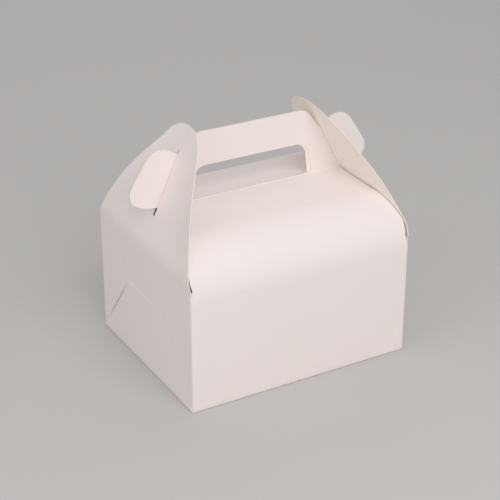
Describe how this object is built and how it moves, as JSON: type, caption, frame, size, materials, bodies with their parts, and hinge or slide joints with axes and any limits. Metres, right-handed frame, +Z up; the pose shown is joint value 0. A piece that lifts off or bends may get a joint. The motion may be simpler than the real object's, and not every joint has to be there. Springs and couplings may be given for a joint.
{
  "type": "gable box",
  "caption": "Folded white board carton with softly curved roof panels that rise into a grip with a hand hole, shut by hinged gable flaps hooked over its ears.",
  "frame": {"origin": "middle of the base's underside, on the surface that the box stands on", "axes": "+X along the long walls towards the right gable flap, -Y towards the front wall, +Z up through the grip"},
  "size_m": [0.1756, 0.132, 0.1662],
  "materials": {
    "board": "white coated folding boxboard, satin matte, cut edges cream"
  },
  "bodies": {
    "carton": {"carton": "board"},
    "left_flap": {"gable_flap_left": "board"},
    "right_flap": {"gable_flap_right": "board"}
  },
  "joints": [
    {"name": "left_flap_hinge", "type": "hinge", "parent": "carton", "child": "left_flap", "pos_m": [-0.08, 0, 0.085], "axis": [0, -1, 0], "range_deg": [0, 135]},
    {"name": "right_flap_hinge", "type": "hinge", "parent": "carton", "child": "right_flap", "pos_m": [0.08, 0, 0.085], "axis": [0, 1, 0], "range_deg": [0, 135]}
  ]
}
